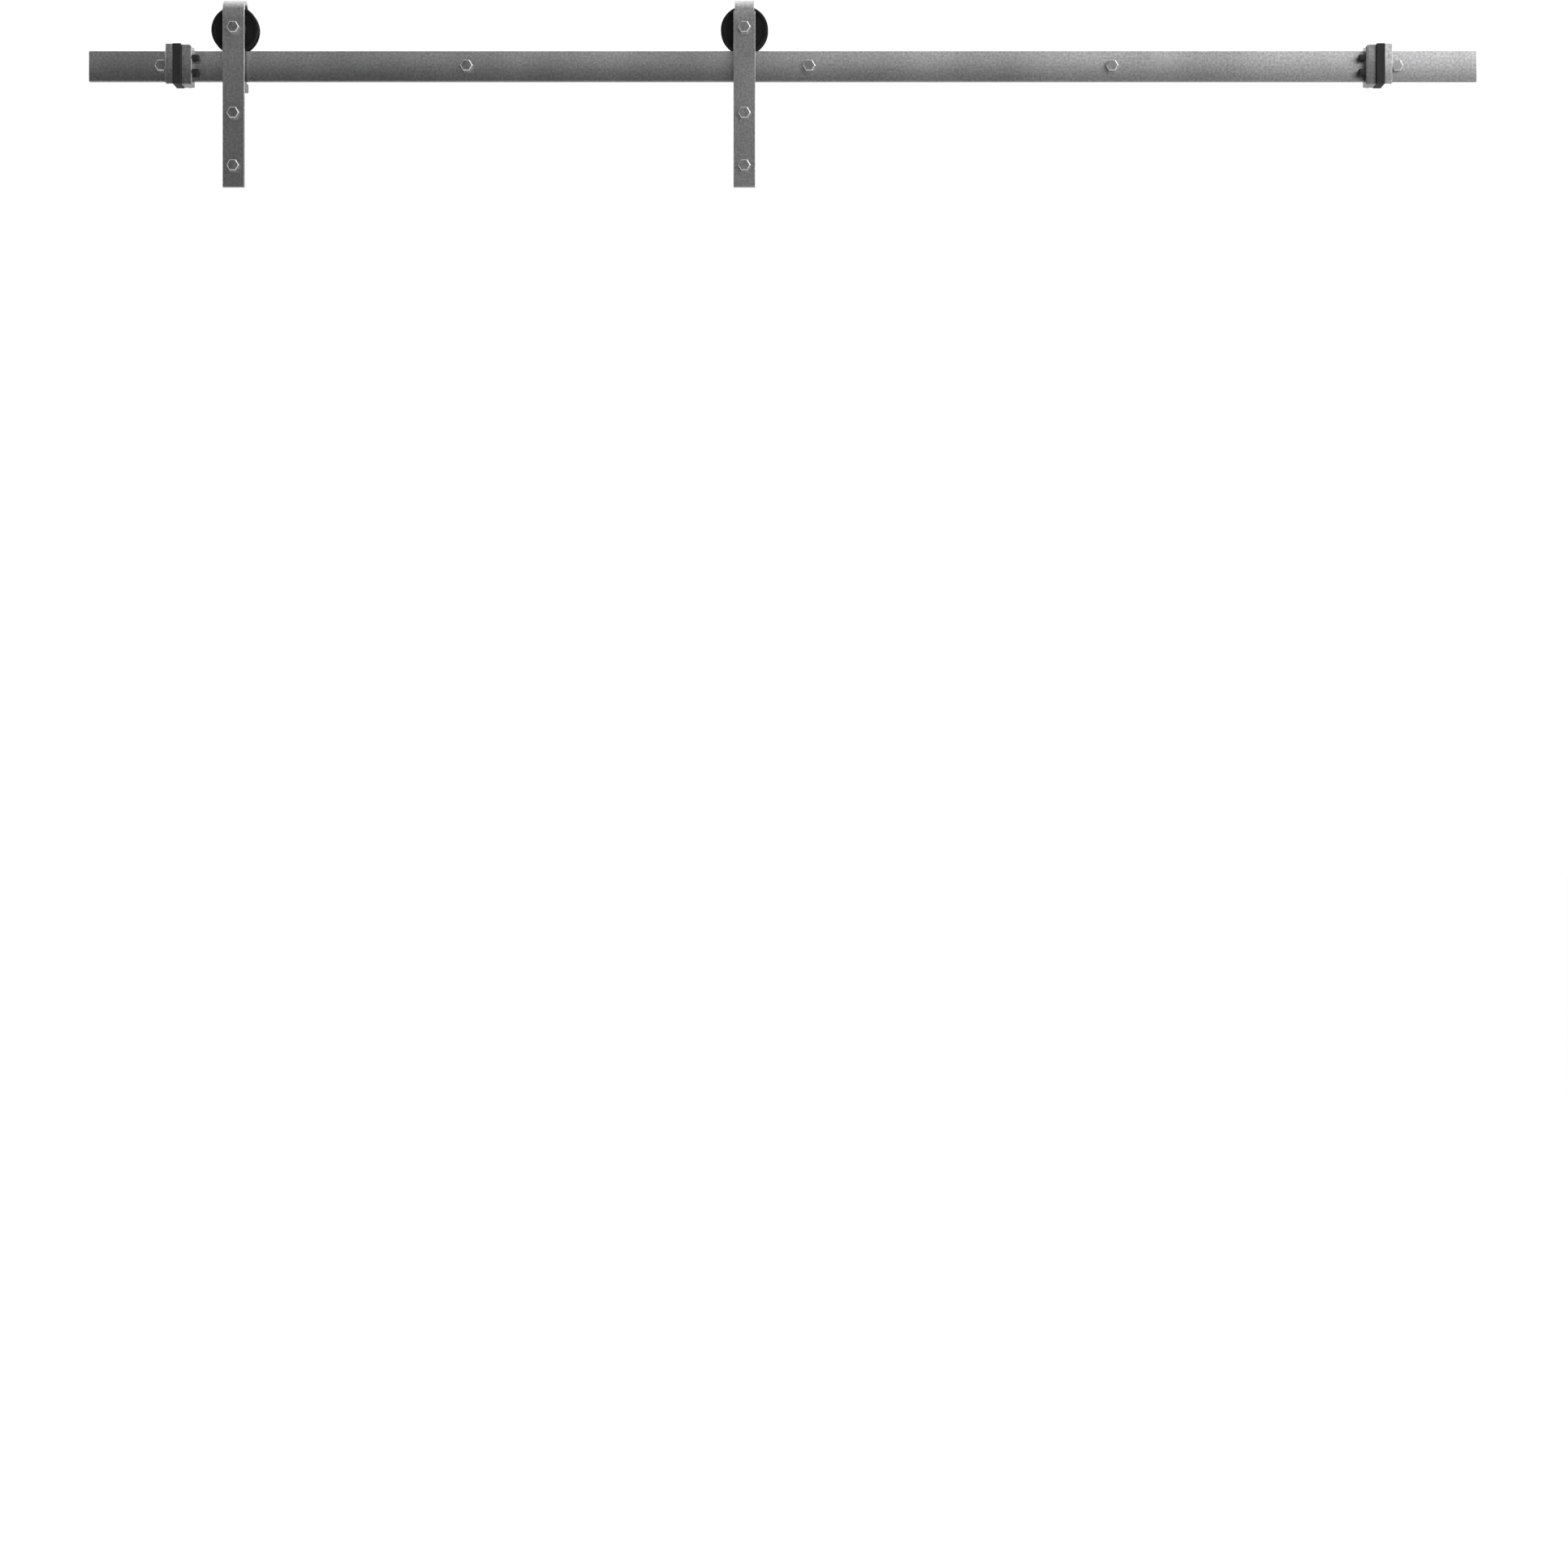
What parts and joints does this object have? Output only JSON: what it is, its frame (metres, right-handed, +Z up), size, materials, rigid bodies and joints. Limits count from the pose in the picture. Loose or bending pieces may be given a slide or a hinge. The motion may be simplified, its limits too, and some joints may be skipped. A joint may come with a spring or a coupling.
{
  "type": "sliding barn door hardware",
  "caption": "Flat steel rail on wall spacers with rolling strap hangers and clamp-on stops, for hanging and sliding a barn door.",
  "frame": {"origin": "on the axis of the middle wall screw, at the face of the wall; also the height of the rail's centre line", "axes": "+X to the right along the rail, +Y into the wall along the wall screws, +Z up"},
  "size_m": [1.829, 0.0886, 0.2485],
  "materials": {
    "satin_steel": "satin stainless steel with a fine bead-blasted grain",
    "stop_steel": "satin stainless steel, a little lighter",
    "fastener_steel": "turned stainless steel with a bright chamfer",
    "bearing_steel": "ground and polished",
    "wheel_nylon": "machined black nylon",
    "black_rubber": "matte black rubber"
  },
  "bodies": {
    "rail_assembly": {"rail": "satin_steel", "wall_spacer_1": "satin_steel", "wall_spacer_2": "satin_steel", "wall_spacer_3": "satin_steel", "wall_spacer_4": "satin_steel", "wall_spacer_5": "satin_steel", "wall_screw_1": "fastener_steel", "wall_screw_2": "fastener_steel", "wall_screw_3": "fastener_steel", "wall_screw_4": "fastener_steel", "wall_screw_5": "fastener_steel", "left_stop_body": "stop_steel", "left_stop_band": "black_rubber", "left_stop_plate": "stop_steel", "left_stop_clamp": "stop_steel", "left_stop_buffers": "black_rubber", "left_stop_tie_screws": "fastener_steel", "left_stop_clamp_screws": "fastener_steel", "right_stop_body": "stop_steel", "right_stop_band": "black_rubber", "right_stop_plate": "stop_steel", "right_stop_clamp": "stop_steel", "right_stop_buffers": "black_rubber", "right_stop_tie_screws": "fastener_steel", "right_stop_clamp_screws": "fastener_steel"},
    "left_hanger": {"left_strap": "satin_steel", "left_axle_bolt": "fastener_steel", "left_axle_nut": "fastener_steel", "left_axle_front_sleeve": "satin_steel", "left_axle_rear_sleeve": "satin_steel", "left_bearing_inner_race": "bearing_steel", "left_anti_jump_block": "stop_steel", "left_anti_jump_screw": "fastener_steel", "left_door_screws": "fastener_steel"},
    "right_hanger": {"right_strap": "satin_steel", "right_axle_bolt": "fastener_steel", "right_axle_nut": "fastener_steel", "right_axle_front_sleeve": "satin_steel", "right_axle_rear_sleeve": "satin_steel", "right_bearing_inner_race": "bearing_steel", "right_anti_jump_block": "stop_steel", "right_anti_jump_screw": "fastener_steel", "right_door_screws": "fastener_steel"},
    "left_wheel_assembly": {"left_wheel_core": "wheel_nylon", "left_wheel_front_flange": "wheel_nylon", "left_wheel_rear_flange": "wheel_nylon", "left_bearing_outer_race": "bearing_steel", "left_bearing_balls": "bearing_steel", "left_bearing_shields": "wheel_nylon"},
    "right_wheel_assembly": {"right_wheel_core": "wheel_nylon", "right_wheel_front_flange": "wheel_nylon", "right_wheel_rear_flange": "wheel_nylon", "right_bearing_outer_race": "bearing_steel", "right_bearing_balls": "bearing_steel", "right_bearing_shields": "wheel_nylon"}
  },
  "joints": [
    {"name": "left_hanger_slide", "type": "slide", "parent": "rail_assembly", "child": "left_hanger", "axis": [1, 0, 0], "range_m": [-0.032, 0.7935]},
    {"name": "right_hanger_slide", "type": "slide", "parent": "rail_assembly", "child": "right_hanger", "axis": [1, 0, 0], "range_m": [-0.032, 0.7935]},
    {"name": "left_wheel_spin", "type": "hinge", "parent": "left_hanger", "child": "left_wheel_assembly", "pos_m": [-0.756, -0.038, 0.0475], "axis": [0, 1, 0], "range_deg": [-70, 1660]},
    {"name": "right_wheel_spin", "type": "hinge", "parent": "right_hanger", "child": "right_wheel_assembly", "pos_m": [-0.085, -0.038, 0.0475], "axis": [0, 1, 0], "range_deg": [-70, 1660]}
  ],
  "couplings": [
    {"joint": "right_hanger_slide", "follows": "left_hanger_slide", "ratio": 1},
    {"joint": "left_wheel_spin", "follows": "left_hanger_slide", "rad_per_m": 36.364},
    {"joint": "right_wheel_spin", "follows": "left_hanger_slide", "rad_per_m": 36.364}
  ]
}
